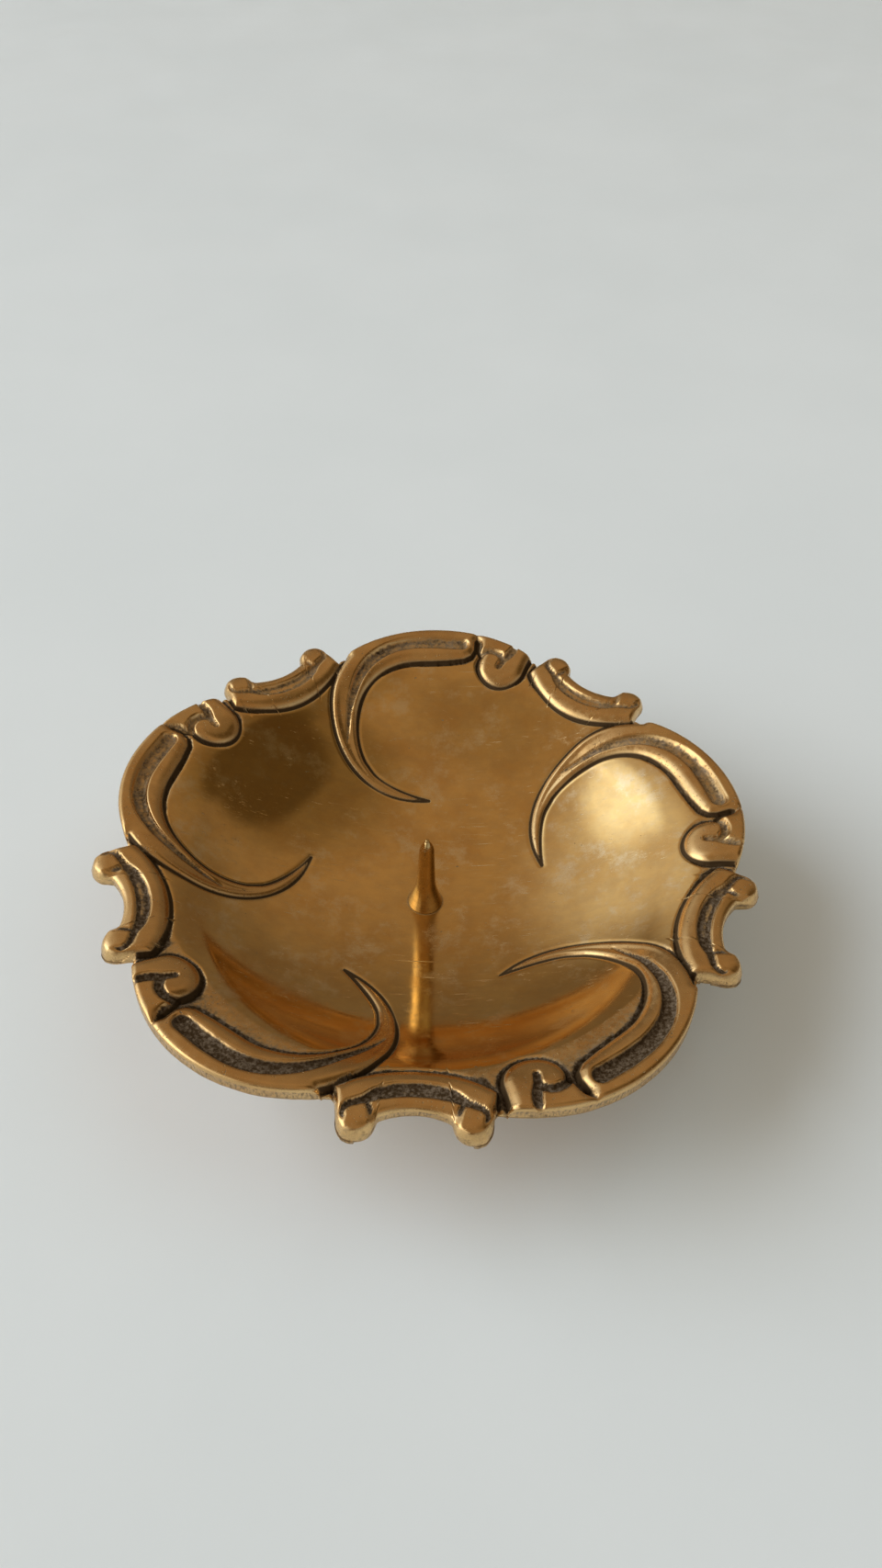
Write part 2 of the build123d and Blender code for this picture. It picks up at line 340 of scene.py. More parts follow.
def deepest(layers):
    """Of several (depth, height, cut) layers, the one that each point lies deepest inside."""
    depth, height, cut = layers[0]
    for other_depth, other_height, other_cut in layers[1:]:
        inside = other_depth > depth
        height = np.where(inside, other_height, height)
        cut = np.where(inside, other_cut, cut)
        depth = np.maximum(depth, other_depth)
    return depth, height, cut


def skin(r, depth=0.0):
    """Height of the bowl's surface, or of one parallel to it that far down in the casting."""
    height, x, lean = BOWL_FLOOR - depth + 0 * r, 0.0, 0.0
    turn = math.asin(BOWL_REACH / BOWL_RADIUS)
    roll = math.asin(math.sin(turn) + (RISE_REACH - BOWL_REACH) / RISE_RADIUS)
    arcs = ((BOWL_RADIUS + depth, turn), (RISE_RADIUS + depth, roll), (depth - LIP_RADIUS, 0.0))
    for radius, end in arcs:
        reach = x + radius * (math.sin(end) - math.sin(lean))
        along = (np.clip(r, x, reach) - x) / radius + math.sin(lean)
        height = height + radius * (math.cos(lean) - np.sqrt(1 - along * along))
        x, lean = reach, end
    return height


def blurred(field, rows, columns):
    """A field averaged over its neighbours, twice, so that the window is rounded."""
    for _ in range(2):
        field = sum(np.roll(field, i, axis=1) for i in range(-columns, columns + 1)) / (2 * columns + 1)
        padded = np.pad(field, ((rows, rows), (0, 0)), mode="edge")
        field = sum(padded[i:i + field.shape[0]] for i in range(2 * rows + 1)) / (2 * rows + 1)
    return field


# ---- The dish's mesh -----------------------------------------------------------------------------
def bracket_weight(a):
    """1 on a bracket's axis, falling to 0 between brackets."""
    off = np.abs((a - math.pi / 2 - BRACKET_TURN + STEP / 2) % STEP - STEP / 2)
    return 1 - smooth(math.radians(8), math.radians(19), off)


def rest_of_casting(x, y, depth):
    """Height outside the ornament, how far that is below the lathe's cut, and the grain of the casting."""
    away, out = np.maximum(-depth, 0), np.hypot(x, y)
    lathe = TURNED_FRONT + (TURNED_BACK - TURNED_FRONT) * smooth(-48, 18, y)
    crease = CREASE * smooth(19, 40, out) * np.exp(-(away / 0.6) ** 2)
    ground = VALLEY * smooth(44.3, 50.5, out)
    grain = 0.035 * noise(x, y, 0.7, 3) + 0.04 * noise(x, y, 1.7, 4) + 0.03 * noise(x, y, 4.0, 5)
    below = crease + ground - lathe + 0.03 * noise(x, y, 6.0, 6)
    below = np.maximum(below - grain * smooth(0.05, 0.35, below), 0)
    return -below * smooth(0.0, 0.06, below), below, grain


def dish_fields(x, y, first):
    """Relief of the inside over the plain bowl, how dark, lined and rough it is, and its depth in plan."""
    angle = np.arctan2(y[-1], x[-1])
    window = np.abs(angle - math.pi / 2 - 0.06) < 1.15
    depth, height, cut = np.full(x.shape, -99.0), np.zeros(x.shape), np.zeros(x.shape)
    depth[first:, window], height[first:, window], cut[first:, window] = motif_relief(x[first:, window],
                                                                                      y[first:, window])
    shift = COLUMNS // LOBES
    depth, height, cut = deepest([[np.roll(field, k * shift, 1) for field in (depth, height, cut)]
                                  for k in range(LOBES)])

    outside, below, grain = rest_of_casting(x, y, depth)
    out, front = np.hypot(x, y), smooth(4, -34, y)
    wear = 0.004 * noise(x, y, 1.3, 11) + 0.02 * noise(x, y, 5.0, 12)
    stain = smooth(0.12, 0.5, cut)
    inside = height - cut + wear + grain * stain
    line = np.exp(-(depth / 0.40) ** 2) * smooth(20.5, 23, out) * (1.05 + 0.3 * noise(x, y, 5.0, 13))
    relief = np.where(depth > 0, inside, outside) - 0.18 * line
    # How far each point lies below its neighbours; below, it darkens the recesses, partly as the patina
    # they hold and partly as painted shade.
    recess = blurred(relief, 3, 4) + 0.6 * blurred(relief, 1, 1) - 1.6 * relief
    cast = smooth(0.0, 0.06, below)
    rough = np.where(depth > 0, 1.0, cast)
    beside = np.exp(-(np.maximum(-depth, 0) / 1.3) ** 2)
    ground = cast * (0.24 + 0.58 * beside * smooth(0.15, 0.6, below))
    # Dark flanks just inside the ornament's edge near the rim; they count only towards the front, as
    # painted shade.
    flank = 0.5 * smooth(0.9, 0.1, depth) * smooth(40, 47, out)
    # Brown patina of the grooves and of the cast ground, the grooves' far darker towards the front: that
    # front weighting, with the front flanks, is painted shade.
    patina_and_painted_shade = np.where(depth > 0, np.maximum(stain * (0.09 + 0.61 * front), flank * front), ground)
    dark = patina_and_painted_shade + (0.52 + 0.1 * front) * smooth(0.02, 0.22, recess) * rough
    return relief, dark, line, rough, depth


def dish_grid():
    """The casting's rows of points, from the hole over the top, down the rim and back underneath."""
    edge = outline()
    a = math.pi / 2 + math.tau * (np.arange(COLUMNS) / COLUMNS - 0.5 / LOBES)
    seat = [HOLE_RADIUS, 2.5, SEAT_RADIUS - 0.05, SEAT_RADIUS + 0.05, 3.1, 3.35]
    middle = [*seat, 3.9, 5.2, *np.arange(6.3, FINE_FROM, 1.1)]
    share = np.linspace(0, 1, int((DISH_RADIUS - FINE_FROM) / ROW_PITCH))[:-1]
    edge_rows = np.array([1.0, 0.8, 0.62, 0.46, 0.32, 0.2, 0.1, 0.03, 0.0])
    first = len(middle)
    radius = np.vstack([
        np.array(middle)[:, None] + 0 * edge,
        FINE_FROM + share[:, None] * (edge - FINE_FROM - edge_rows[0]),
        edge - edge_rows[:, None],
    ])
    x, y = radius * np.cos(a), radius * np.sin(a)
    relief, dark, line, rough, depth = dish_fields(x, y, first)
    droop = BRACKET_DROOP * smooth(47, 58, radius) * bracket_weight(a)
    worked = 0.010 * noise(x, y, 13.0, 21) + 0.004 * noise(x, y, 6.0, 22)
    z = skin(radius) + relief + worked * smooth(4, 12, radius) - droop
    z[:3] = BOWL_FLOOR - SEAT_DEPTH     # under the pricket
    rim = np.full(x.shape, EDGE_ROUND)
    near = radius > NEAR_RIM
    rim[near] = plan_depth(*to_first_motif(x[near], y[near]))
    rim = np.clip(rim, 0, EDGE_ROUND)
    line = line * smooth(0.2, 0.8, rim)
    # A painted shade ring in the bowl round the spike's foot, carried in the line mark.
    line[:len(seat)] = 0.5
    dark = dark * (0.3 + 0.7 * smooth(0.2, 0.85, rim))
    z -= EDGE_ROUND - np.sqrt(EDGE_ROUND**2 - (EDGE_ROUND - rim) ** 2)
    top = {"x": x, "y": y, "z": z, "dark": dark, "line": line, "rough": rough,
           "turned": (depth < 0) * (1 - rough), "side": 0 * x, "under": 0 * x}

    # underneath, from the rim in to the hole
    inward = np.concatenate([[0.0, 0.1, 0.25, 0.5, 0.9, 1.5], np.linspace(2.3, 26, 34)])
    belly = np.array([24.0, 21.0, 19.8, 17.8, 15.8, 13.0, 10.0, 7.5, 5.6, 4.93, 4.87, 3.5, HOLE_RADIUS])
    low_radius = np.vstack([
        edge - inward[:, None],
        belly[:, None] + 0 * edge,
    ])
    u, v = low_radius * np.cos(a), low_radius * np.sin(a)
    droop = BRACKET_DROOP * smooth(47, 58, low_radius) * bracket_weight(a)
    lumps = 0.05 * noise(u, v, 1.1, 31) + 0.10 * noise(u, v, 4.0, 32) + 0.06 * noise(u, v, 11.0, 33)
    low = skin(low_radius, WALL) - droop + (lumps + 0.12) * smooth(20.5, 23, low_radius)
    rim = np.full(u.shape, EDGE_BREAK)
    near = low_radius > NEAR_RIM
    rim[near] = plan_depth(*to_first_motif(u[near], v[near]))
    rim = np.clip(rim, 0, EDGE_BREAK)
    low += EDGE_BREAK - np.sqrt(EDGE_BREAK**2 - (EDGE_BREAK - rim) ** 2)
    low[-3:] = BOWL_FLOOR - WALL + SEAT_DEPTH
    bottom = {"x": u, "y": v, "z": low, "dark": 0.35 + 0 * u, "line": 0 * u, "rough": 1 + 0 * u,
              "turned": 0 * u, "side": 0 * u, "under": 1 + 0 * u}

    # the rim's upright side, filed by hand
    fall = np.linspace(0, 1, 9)[1:-1, None]
    length = np.cumsum(np.hypot(np.diff(x[-1], append=x[-1, 0]), np.diff(y[-1], append=y[-1, 0])))
    filed = 0.02 * noise(length, 0 * length, 0.6, 41) + 0.05 * noise(length, 0 * length, 3.0, 42) - 0.05
    bow = filed * np.sin(np.pi * fall)
    side = {"x": x[-1] + bow * np.cos(a), "y": y[-1] + bow * np.sin(a),
            "z": z[-1] + (low[0] - z[-1]) * fall, "dark": 0.25 + 0 * bow, "line": 0 * bow,
            "rough": 0.6 + 0 * bow, "turned": 0 * bow, "side": 1 + 0 * bow, "under": 0 * bow}
    return {key: np.vstack([top[key], side[key], bottom[key]]) for key in top}


def mesh_object(name, points, faces, attributes=None):
    """A smooth-shaded mesh from points in millimetres."""
    mesh = bpy.data.meshes.new(name)
    mesh.from_pydata((np.asarray(points) * MM).tolist(), [], faces)
    for key, values in (attributes or {}).items():
        layer = mesh.attributes.new(key, "FLOAT", "POINT")
        layer.data.foreach_set("value", np.asarray(values, np.float32).ravel())
    mesh.polygons.foreach_set("use_smooth", [True] * len(mesh.polygons))
    mesh.update()
    made = bpy.data.objects.new(name, mesh)
    bpy.context.scene.collection.objects.link(made)
    return made


def ring_faces(rows, columns, closed):
    """Quads over rows of points that run round an axis; the last row joins the first if closed."""
    i, j = np.meshgrid(np.arange(rows if closed else rows - 1), np.arange(columns), indexing="ij")
    up, right = (i + 1) % rows, (j + 1) % columns
    corners = [i * columns + j, i * columns + right, up * columns + right, up * columns + j]
    return np.stack(corners, -1).reshape(-1, 4)


def make_dish():
    grid = dish_grid()
    rows = grid["x"].shape[0]
    points = np.stack([grid["x"], grid["y"], grid["z"]], -1).reshape(-1, 3)
    faces = ring_faces(rows, COLUMNS, True)[:, ::-1]
    marks = {key: grid[key] for key in ("dark", "line", "rough", "turned", "side", "under")}
    return mesh_object("dish_casting", points, faces.tolist(), marks)


# ---- The turned pieces ---------------------------------------------------------------------------
def lathe(name, profile, columns, wobble=None, closed=False):
    """A turned piece from (radius, height) points listed with the metal on their left."""
    p = np.array(profile, float)
    a = math.tau * np.arange(columns) / columns
    r = np.repeat(p[:, :1], columns, 1)
    z = np.repeat(p[:, 1:], columns, 1)
    if wobble:
        r, z = wobble(r, z, a)
    points = np.stack([r * np.cos(a), r * np.sin(a), z], -1).reshape(-1, 3)
    faces = ring_faces(len(p), columns, closed).tolist()
    if not closed:
        faces.append(list(range(columns))[::-1])
        faces.append([(len(p) - 1) * columns + j for j in range(columns)])
    return mesh_object(name, points, faces)


def make_pricket():
    """The spike: a point ground by hand, a turned shaft with a flared foot, and the threaded tail."""
    tip, end = pricket_high[2], pricket_low[2]
    seat = BOWL_FLOOR - SEAT_DEPTH
    flare = pricket_high[0]
    shaft = spline([(1.38, tip - 3.2), (1.45, tip - 4.6), (1.55, tip - 7.0), (1.68, tip - 9.4),
                    (1.83, seat + 5.6), (2.12, seat + 4.0), (2.60, seat + 2.3), (2.95, seat + 1.2),
                    (flare - 0.01, seat + 0.45)])
    foot = arc((flare - 0.35, seat + 0.37), 0.35, 10, -84, 10)
    point = [(0.14, tip - 0.01), (0.34, tip - 0.07)]
    point += [(1.38 * math.sin(t) ** 0.75, tip - 0.07 - 3.13 * t * 2 / math.pi)
              for t in np.linspace(0.16, 1.5, 26)]
    upper = [*point, *shaft, *foot, (flare - 1.0, seat), (THREAD_RADIUS, seat)]
    thread = []
    z = seat - 0.3
    while z > end + 0.75:
        thread += [(THREAD_RADIUS, z), (THREAD_ROOT, z - THREAD_PITCH / 2)]
        z -= THREAD_PITCH
    tail = [(THREAD_RADIUS, seat - 0.05), *thread, (THREAD_RADIUS, end + 0.45),
            (1.6, end + 0.02), (1.2, end)]

    def ground(r, z, a):
        """Flats ground on the point, and faint turning rings below them."""
        down = tip - z
        for turn, tilt in ((3.7, 0.40), (5.2, 0.50), (0.9, 0.46)):
            flat = (0.28 + down * tilt) / np.maximum(np.cos(a - turn), 0.05)
            r = np.where(np.cos(a - turn) > 0.1, np.minimum(r, flat), r)
        rings = 0.005 * np.sin(z * 14) * smooth(4, 6, down) * smooth(seat + 0.6, seat + 1.2, z)
        return r + rings, z

    downward = [*upper, *tail]
    return lathe("pricket_spike", downward[::-1], 128, ground)


def make_foot_ring():
    """The foot: turned all over and coved outside, its top following the belly."""
    outer, floor = foot_high[0], foot_low[2]
    inner = outer - 4.0
    top = float(skin(np.array(outer), WALL))
    top_in = float(skin(np.array(inner), WALL))
    cove = spline([(outer, floor + 0.55), (outer - 0.6, floor + 1.5), (outer - 1.05, floor + 2.7),
                   (outer - 1.05, floor + 3.6), (outer - 0.62, floor + 4.7), (outer - 0.02, top - 0.28)])
    belly = [(r, float(skin(np.array(r), WALL))) for r in np.linspace(outer, inner, 9)]
    profile = [(inner + 0.5, floor), (inner + 1.4, floor), (outer - 1.4, floor), (outer - 0.55, floor),
               (outer - 0.3, floor + 0.06), (outer - 0.1, floor + 0.25), *cove, *belly,
               (inner, top_in - 0.1), (inner + 0.02, floor + 2.4), (inner, floor + 0.55),
               (inner + 0.12, floor + 0.25), (inner + 0.3, floor + 0.06)]

    def turned_by_hand(r, z, a):
        return r + 0.008 * np.sin(z * 21) - 0.008, z

    return lathe("foot_ring_turned", profile, 256, turned_by_hand, closed=True)


def make_washer():
    """A stamped washer: one edge rolled over by the punch, the other with a faint burr."""
    outer, low, high = washer_high[0], washer_low[2], washer_high[2]
    profile = [(HOLE_RADIUS, low + 0.12), (HOLE_RADIUS + 0.05, low + 0.03), (HOLE_RADIUS + 0.16, low),
               (outer - 0.35, low), (outer - 0.15, low + 0.04), (outer - 0.04, low + 0.14),
               (outer, low + 0.28), (outer, high - 0.06), (outer - 0.06, high),
               (HOLE_RADIUS + 0.05, high), (HOLE_RADIUS, high - 0.05)]
    return lathe("washer_stamped", profile, 128, closed=True)


def make_nut():
    """A thin hexagon nut, its corners turned down on both faces."""
    low, high = box("nut")
    flats = high[1]
    bore = 2.06
    beyond = 9.0    # the side's points start past the corners, and hexagon brings them in
    profile = [(bore, low[2] + 0.25), (bore + 0.22, low[2] + 0.04), (bore + 0.3, low[2]),
               (3.1, low[2]), (3.4, low[2] + 0.02), (beyond, low[2] + 0.34),
               (beyond, high[2] - 0.34), (3.4, high[2] - 0.02), (3.1, high[2]),
               (bore + 0.3, high[2]), (bore + 0.22, high[2] - 0.04), (bore, high[2] - 0.25)]

    def hexagon(r, z, a):
        corner = flats / math.cos(math.pi / 6)
        side = flats / np.cos((a + math.pi / 2 + math.pi / 6) % (math.pi / 3) - math.pi / 6)
        side = np.minimum(side, corner - 0.05)
        wide = r == beyond
        slope = 0.3 / (corner - flats)
        inset = np.maximum(side - flats, 0) * slope
        middle = (low[2] + high[2]) / 2
        z = np.where(wide, np.where(z < middle, low[2] + 0.06 + inset, high[2] - 0.06 - inset), z)
        return np.where(wide, side, r), z

    return lathe("nut_hexagon", profile, 180, hexagon, closed=True)


# ---- Materials -----------------------------------------------------------------------------------
class Shader:
    """A material's node tree, with short calls for the nodes that these finishes are made of."""

    def __init__(self, name):
        self.material = bpy.data.materials.new(name)
        self.material.use_nodes = True
        self.tree = self.material.node_tree
        self.skin = self.tree.nodes["Principled BSDF"]
        place = self.node("ShaderNodeTexCoord").outputs["Object"]
        to_mm = {0: place, 1: (1 / MM,) * 3}
        self.place = self.node("ShaderNodeVectorMath", to_mm, operation="MULTIPLY").outputs[0]

    def node(self, kind, inputs=None, **settings):
        made = self.tree.nodes.new(kind)
        for key, value in settings.items():
            setattr(made, key, value)
        for key, value in (inputs or {}).items():
            if isinstance(value, bpy.types.NodeSocket):
                self.tree.links.new(value, made.inputs[key])
            else:
                made.inputs[key].default_value = value
        return made

    def mark(self, name):
        """A vertex attribute."""
        return self.node("ShaderNodeAttribute", attribute_name=name).outputs["Fac"]

    def maths(self, how, a, b):
        return self.node("ShaderNodeMath", {0: a, 1: b}, operation=how).outputs[0]

    def stretched(self, turn, scale):
        """The place turned about Z and scaled, for grain that runs one way."""
        inputs = {"Vector": self.place, "Rotation": (0, 0, math.radians(turn)), "Scale": scale}
        return self.node("ShaderNodeMapping", inputs).outputs[0]

    def noise(self, scale, detail=2.0, place=None, roughness=0.5):
        inputs = {"Vector": place or self.place, "Scale": scale, "Detail": detail, "Roughness": roughness}
        return self.node("ShaderNodeTexNoise", inputs).outputs["Fac"]

    def step(self, value, low, high, to_low=0.0, to_high=1.0):
        inputs = {"Value": value, "From Min": low, "From Max": high, "To Min": to_low, "To Max": to_high}
        return self.node("ShaderNodeMapRange", inputs, interpolation_type="SMOOTHSTEP").outputs[0]

    def blend(self, factor, a, b):
        """One colour going over to another."""
        made = self.node("ShaderNodeMix", {0: factor}, data_type="RGBA")
        for socket, value in ((6, a), (7, b)):
            if isinstance(value, bpy.types.NodeSocket):
                self.tree.links.new(value, made.inputs[socket])
            else:
                made.inputs[socket].default_value = (*value, 1.0)
        return made.outputs[2]

    def level(self, factor, a, b):
        """One number going over to another."""
        return self.node("ShaderNodeMix", {0: factor, 2: a, 3: b}).outputs[0]

    def finish(self, **sockets):
        for key, value in sockets.items():
            key = key.replace("_", " ")
            if isinstance(value, bpy.types.NodeSocket):
                self.tree.links.new(value, self.skin.inputs[key])
            else:
                self.skin.inputs[key].default_value = value
        return self.material

    def bump(self, height, distance):
        """A normal tilted by a height, whose full step is the distance in millimetres."""
        inputs = {"Height": height, "Distance": distance * MM}
        return self.node("ShaderNodeBump", inputs).outputs[0]


BRASS = (0.76, 0.50, 0.225)
BRASS_BOWL = (0.80, 0.52, 0.20)
# a dark brown, for patina and for the painted shade that the dish's dark mark carries
PATINA_AND_SHADE = (0.060, 0.034, 0.014)
SMUDGE = (0.84, 0.68, 0.44)
TARNISH = (0.50, 0.24, 0.06)
HAZE = (0.58, 0.40, 0.19)
WORN_PATINA = (0.26, 0.195, 0.135)


def brass_casting():
    """Brass, polished on its ridges, turned bright in the bowl, and brown in its hollows, the brown partly
    patina and partly painted shade.
    """
    s = Shader("cast_brass")
    turned_part, side, under = s.mark("turned"), s.mark("side"), s.mark("under")
    grain = s.noise(1.6, 5.0, roughness=0.65)
    coarse = s.noise(0.30, 3.0)

    # the dark mark: brown patina in the hollows with painted shade in the recesses and towards the front,
    # broken by worn grains
    dark = s.maths("ADD", s.mark("dark"), s.step(grain, 0.35, 0.65, -0.14, 0.14))
    dark = s.step(s.maths("MULTIPLY", dark, s.step(coarse, 0.3, 0.7, 0.85, 1.15)), 0.12, 0.85)

    # pinholes in the casting, in clusters
    pin = s.step(s.noise(2.6, 1.0), 0.68, 0.76)
    pin = s.maths("MULTIPLY", pin, s.step(s.noise(0.22, 2.0), 0.46, 0.60))
    pin = s.maths("MULTIPLY", pin, s.maths("SUBTRACT", 1.0, turned_part))
    dark = s.maths("MAXIMUM", dark, s.maths("MULTIPLY", pin, 0.8))

    # the dark line where the ornament meets the bowl, and the painted shade ring round the spike's foot
    line = s.step(s.mark("line"), 0.25, 0.80)
    dark = s.maths("MAXIMUM", dark, line)

    # tarnish, smudges, scratches and spots on the turned bowl
    blotch = s.noise(0.11, 5.0, roughness=0.62)
    cloud = s.noise(0.55, 4.0, s.stretched(24, (0.55, 1.0, 1.0)), 0.6)
    wiped = s.maths("MULTIPLY", s.step(s.noise(0.13, 7.0, roughness=0.74), 0.50, 0.68), turned_part)
    hairs = None
    for turn, fine in ((12, 2.6), (-33, 3.4), (71, 3.0), (100, 2.2)):
        lines = s.step(s.noise(1.0, 4.0, s.stretched(turn, (0.07, fine, 1.0))), 0.64, 0.78)
        patch = s.step(s.noise(0.09, 2.0, s.stretched(turn * 3, (1.0, 1.0, 1.0))), 0.50, 0.62)
        lines = s.maths("MULTIPLY", lines, patch)
        hairs = lines if hairs is None else s.maths("MAXIMUM", hairs, lines)
    smear = s.step(s.noise(0.9, 5.0, s.stretched(-20, (0.30, 1.0, 1.0)), 0.72), 0.60, 0.72)
    smear = s.maths("MULTIPLY", smear, s.step(s.noise(0.07, 2.0), 0.46, 0.58))
    hairs = s.maths("MULTIPLY", s.maths("MAXIMUM", hairs, s.maths("MULTIPLY", smear, 0.8)), turned_part)
    spots = s.step(s.noise(0.8, 2.0, s.stretched(40, (0.8, 1.5, 1.0))), 0.755, 0.78)
    spots = s.maths("MULTIPLY", spots, turned_part)
    dark = s.maths("MAXIMUM", dark, s.maths("MULTIPLY", spots, 0.85))

    # file marks across the rim
    across = s.node("ShaderNodeSeparateXYZ", {0: s.place})
    around = s.maths("MULTIPLY", s.maths("ARCTAN2", across.outputs[1], across.outputs[0]), DISH_RADIUS)
    rise = s.maths("MULTIPLY", across.outputs[2], 0.30)
    along = s.node("ShaderNodeCombineXYZ", {0: around, 1: rise}).outputs[0]
    filed = s.noise(2.4, 3.0, along, 0.6)
    filed_dark = s.maths("MULTIPLY", s.step(filed, 0.42, 0.66), side)
    dark = s.maths("MAXIMUM", dark, s.maths("MULTIPLY", filed_dark, 0.72))

    colour = s.blend(turned_part, BRASS, BRASS_BOWL)
    colour = s.blend(s.step(blotch, 0.35, 0.7, 0.0, 0.42), colour, TARNISH)
    colour = s.blend(s.step(cloud, 0.35, 0.68, 0.0, 0.34), colour, HAZE)
    colour = s.blend(s.maths("MULTIPLY", wiped, 0.60), colour, SMUDGE)
    colour = s.blend(s.maths("MULTIPLY", hairs, 0.85), colour, SMUDGE)
    worn = s.maths("MULTIPLY", s.step(s.noise(0.45, 3.0), 0.40, 0.62), s.step(s.mark("dark"), 0.95, 0.60))
    flecks = s.step(s.noise(1.8, 5.0, roughness=0.68), 0.40, 0.72)
    flecks = s.maths("MAXIMUM", flecks, s.maths("MULTIPLY", worn, 0.75))
    flecks = s.maths("MULTIPLY", flecks, s.maths("SUBTRACT", 1.0, line))
    colour = s.blend(dark, colour, s.blend(flecks, PATINA_AND_SHADE, WORN_PATINA))

    cast_rough = s.step(s.noise(0.9, 3.0), 0.3, 0.7, 0.18, 0.31)
    rough = s.level(turned_part, cast_rough, s.step(blotch, 0.3, 0.7, 0.06, 0.13))
    rough = s.maths("ADD", rough, s.maths("MULTIPLY", wiped, 0.14))
    from_axis = s.node("ShaderNodeVectorMath", {0: s.place}, operation="LENGTH").outputs["Value"]
    rough = s.maths("ADD", rough, s.step(from_axis, 6.0, 17.0, 0.15, 0.0))
    rough = s.maths("ADD", rough, s.maths("MULTIPLY", hairs, 0.30))
    rough = s.level(side, rough, 0.28)
    rough = s.level(under, rough, 0.42)
    rough = s.level(dark, rough, 0.62)

    pitted = s.maths("MULTIPLY", grain, s.level(turned_part, 1.0, 0.0))
    pitted = s.maths("MULTIPLY", pitted, s.step(s.mark("dark"), 0.1, 0.8, 0.03, 0.7))
    relief = s.maths("SUBTRACT", pitted, pin)
    relief = s.maths("ADD", relief, s.maths("MULTIPLY", s.maths("MULTIPLY", filed, side), 1.2))
    relief = s.maths("SUBTRACT", relief, s.maths("MULTIPLY", hairs, 0.10))
    relief = s.maths("ADD", relief, s.maths("MULTIPLY", s.maths("MULTIPLY", cloud, turned_part), 0.05))
    return s.finish(Base_Color=colour, Roughness=rough, Metallic=s.level(dark, 1.0, 0.45),
                    Specular_IOR_Level=s.level(dark, 0.5, 0.18), Normal=s.bump(relief, 0.12))


def turned_brass(name, colour, roughness, pitch):
    """Lathe-turned brass: rings round the axis, a little tarnish, and small knocks."""
    s = Shader(name)
    across = s.node("ShaderNodeSeparateXYZ", {0: s.place})
    flat = s.node("ShaderNodeCombineXYZ", {0: across.outputs[0], 1: across.outputs[1]}).outputs[0]
    out = s.node("ShaderNodeVectorMath", {0: flat}, operation="LENGTH").outputs["Value"]
    path = s.node("ShaderNodeCombineXYZ", {0: s.maths("MULTIPLY", out, pitch),
                                           1: s.maths("MULTIPLY", across.outputs[2], pitch)}).outputs[0]
    rings = s.noise(1.0, 3.0, path, 0.6)
    blotch = s.noise(0.5, 4.0, roughness=0.6)
    knocks = s.step(s.noise(1.7, 2.0), 0.66, 0.74)
    base = s.blend(s.step(blotch, 0.35, 0.7, 0.0, 0.55), colour, tuple(0.62 * c for c in colour))
    base = s.blend(s.maths("MULTIPLY", knocks, 0.6), base, PATINA_AND_SHADE)
    rough = s.step(rings, 0.3, 0.7, roughness - 0.04, roughness + 0.08)
    rough = s.maths("ADD", rough, s.maths("MULTIPLY", knocks, 0.2))
    relief = s.maths("SUBTRACT", s.maths("MULTIPLY", rings, 0.5), knocks)
    return s.finish(Base_Color=base, Roughness=rough, Metallic=1.0, Normal=s.bump(relief, 0.02))


def table_top():
    """The pale table: a hard, slightly glossy paint with a very faint mottle."""
    s = Shader("table_paint")
    mottle = s.noise(0.012, 4.0)
    colour = s.blend(s.step(mottle, 0.3, 0.7), (0.775, 0.790, 0.790), (0.800, 0.812, 0.812))
    rough = s.step(s.noise(0.05, 4.0), 0.3, 0.7, 0.36, 0.44)
    return s.finish(Base_Color=colour, Roughness=rough, Specular_IOR_Level=0.2,
                    Normal=s.bump(s.noise(0.4, 3.0), 0.02))


# ---- Pieces --------------------------------------------------------------------------------------
def keep(piece, node, material):
    piece.data.materials.append(material)
    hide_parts(node)
    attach(piece, "root")


keep(make_dish(), "dish", brass_casting())
keep(make_pricket(), "pricket", turned_brass("spike_brass", (0.68, 0.47, 0.20), 0.17, 2.2))
keep(make_foot_ring(), "foot_ring", turned_brass("foot_brass", (0.74, 0.46, 0.16), 0.24, 1.8))
keep(make_washer(), "washer", turned_brass("washer_brass", (0.70, 0.48, 0.20), 0.30, 1.2))
keep(make_nut(), "nut", turned_brass("nut_brass", (0.74, 0.50, 0.20), 0.22, 2.6))

# ---- Set: table, light and camera ----------------------------------------------------------------
TABLE = 3000.0              # half its width
WINDOW_POWER = 132.0
FILL_POWER = 26.0
LAMP_SIZE = 3.8             # both lamps, in metres
LAMP_DISTANCE = 4.0

table_corners = [(-TABLE, -TABLE, 0), (TABLE, -TABLE, 0), (TABLE, TABLE, 0), (-TABLE, TABLE, 0)]
table = mesh_object("table", table_corners, [(0, 1, 2, 3)])
table.data.materials.append(table_top())


def heading(azimuth, elevation):
    """Direction from the dish: azimuth clockwise from +Y, both in degrees."""
    a, e = math.radians(azimuth), math.radians(elevation)
    return Vector((math.sin(a) * math.cos(e), math.cos(a) * math.cos(e), math.sin(e)))


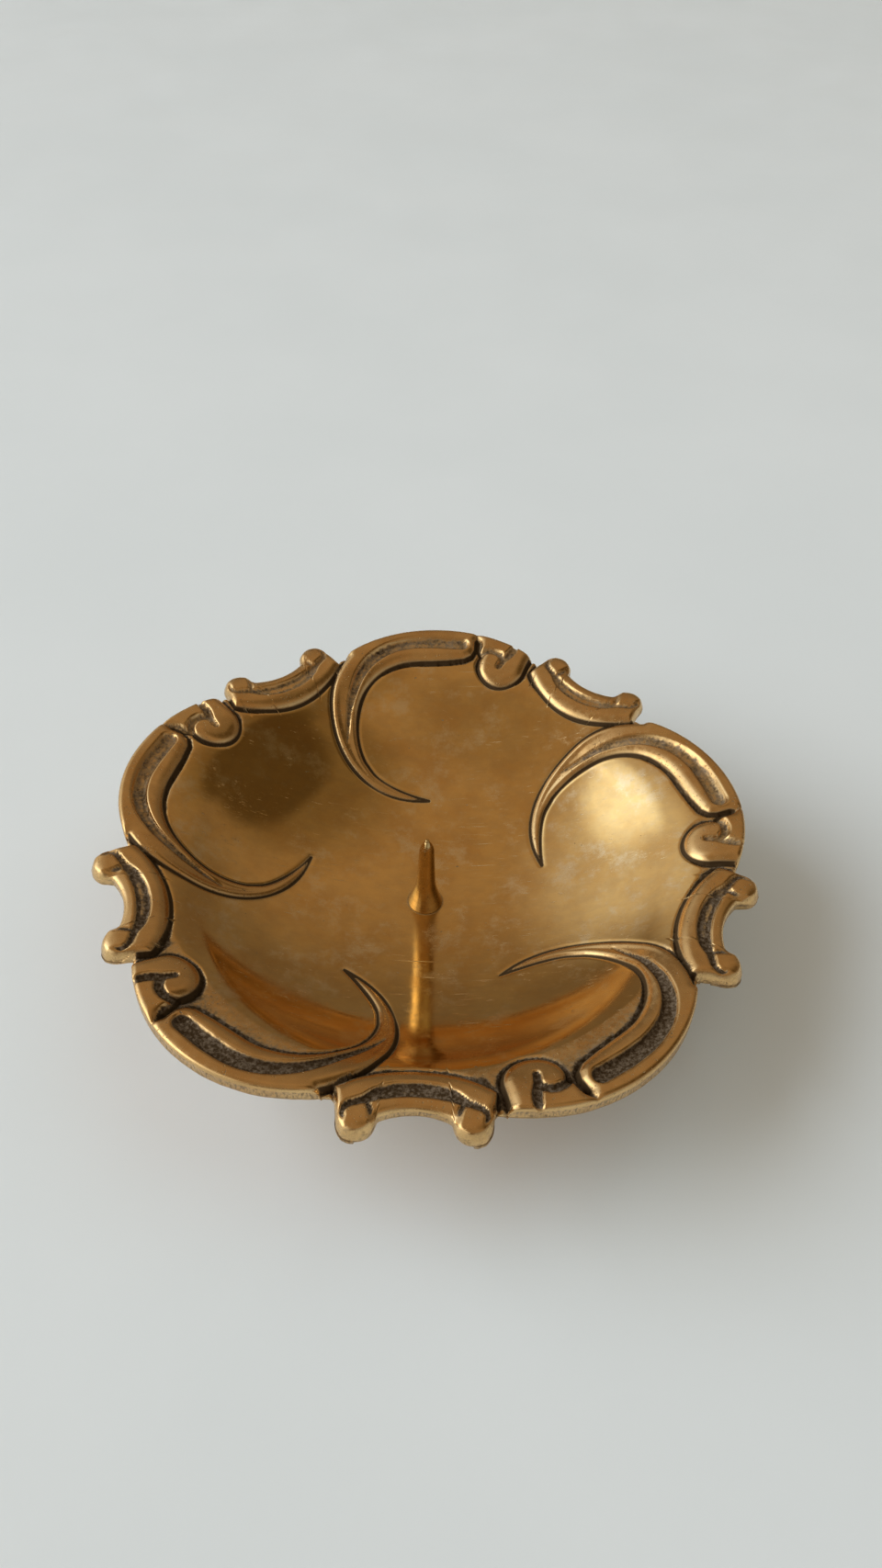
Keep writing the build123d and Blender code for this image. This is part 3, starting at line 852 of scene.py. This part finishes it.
def room():
    """The room as the metal sees it: a warm ceiling, dim walls, dark at the right, windows at the left."""
    world = bpy.data.worlds.new("room")
    bpy.context.scene.world = world
    world.use_nodes = True
    tree = world.node_tree
    place = tree.nodes.new("ShaderNodeTexCoord").outputs["Generated"]

    def towards(direction, edge, centre):
        """0 further from a direction than the edge angle, and 1 nearer than the centre angle."""
        dot = tree.nodes.new("ShaderNodeVectorMath")
        dot.operation = "DOT_PRODUCT"
        tree.links.new(place, dot.inputs[0])
        dot.inputs[1].default_value = Vector(direction).normalized()
        fade = tree.nodes.new("ShaderNodeMapRange")
        fade.interpolation_type = "SMOOTHSTEP"
        tree.links.new(dot.outputs["Value"], fade.inputs["Value"])
        fade.inputs["From Min"].default_value = math.cos(math.radians(edge))
        fade.inputs["From Max"].default_value = math.cos(math.radians(centre))
        return fade.outputs[0]

    def over(colour, factor, other):
        mix = tree.nodes.new("ShaderNodeMix")
        mix.data_type = "RGBA"
        tree.links.new(factor, mix.inputs[0])
        for socket, value in ((6, colour), (7, other)):
            if isinstance(value, tuple):
                mix.inputs[socket].default_value = (*value, 1)
            else:
                tree.links.new(value, mix.inputs[socket])
        return mix.outputs[2]

    sky = over((0.19, 0.145, 0.095), towards((0, 0, 1), 76, 30), (0.38, 0.270, 0.16))
    sky = over(sky, towards(heading(135, -25), 70, 35), (0.46, 0.48, 0.48))
    sky = over(sky, towards(heading(80, 56), 34, 16), (0.195, 0.138, 0.070))
    sky = over(sky, towards(heading(82, 46), 23, 17), (0.100, 0.066, 0.028))
    sky = over(sky, towards(heading(214, 64), 30, 6), (0.32, 0.232, 0.138))
    sky = over(sky, towards(heading(304, 28), 38, 10), (0.74, 0.72, 0.68))
    sky = over(sky, towards(heading(290, 36), 19, 5), (1.40, 1.56, 1.75))
    sky = over(sky, towards(heading(228, 14), 26, 10), (0.95, 0.97, 0.95))
    sky = over(sky, towards(heading(262, 18), 31, 12), (2.6, 2.7, 2.7))
    ground = tree.nodes["Background"]
    tree.links.new(sky, ground.inputs["Color"])
    ground.inputs["Strength"].default_value = 1.0


room()


def daylight(name, direction, power, colour):
    """Soft daylight on the table. The brass sees the brightness painted in the room instead."""
    lamp = bpy.data.lights.new(name, "AREA")
    lamp.shape = "DISK"
    lamp.size = LAMP_SIZE
    lamp.energy = power
    lamp.color = colour
    made = bpy.data.objects.new(name, lamp)
    made.location = direction * LAMP_DISTANCE
    made.rotation_euler = made.location.to_track_quat("Z", "Y").to_euler()
    made.visible_glossy = False
    bpy.context.scene.collection.objects.link(made)


daylight("window", heading(272, 28), WINDOW_POWER, (0.78, 0.90, 1.0))
daylight("fill", heading(60, 60), FILL_POWER, (0.60, 0.90, 1.0))


def camera():
    """The camera stands in front of the dish and looks down into it, turned a little off the middle."""
    elevation, distance = math.radians(47.87), 211.6
    yaw, pitch, roll = math.radians(0.577), math.radians(2.740), math.radians(1.882)
    target = Vector((0, 0, 23.5))
    right = Vector((1, 0, 0))
    back = Vector((0, -math.cos(elevation), math.sin(elevation)))
    up = back.cross(right)
    ahead = -back * math.cos(yaw) + right * math.sin(yaw)
    right = right * math.cos(yaw) + back * math.sin(yaw)
    ahead, up = (ahead * math.cos(pitch) + up * math.sin(pitch),
                 up * math.cos(pitch) - ahead * math.sin(pitch))
    right, up = (right * math.cos(roll) + up * math.sin(roll),
                 up * math.cos(roll) - right * math.sin(roll))
    lens = bpy.data.cameras.new("camera")
    lens.lens, lens.sensor_width = 27.06, 36.0
    lens.clip_start, lens.clip_end = 0.01, 20.0
    made = bpy.data.objects.new("camera", lens)
    where = (target + back * distance) * MM
    made.matrix_world = Matrix((right, up, -ahead)).transposed().to_4x4()
    made.location = where
    bpy.context.scene.collection.objects.link(made)
    bpy.context.scene.camera = made


camera()
bpy.context.scene.view_settings.view_transform = "Standard"
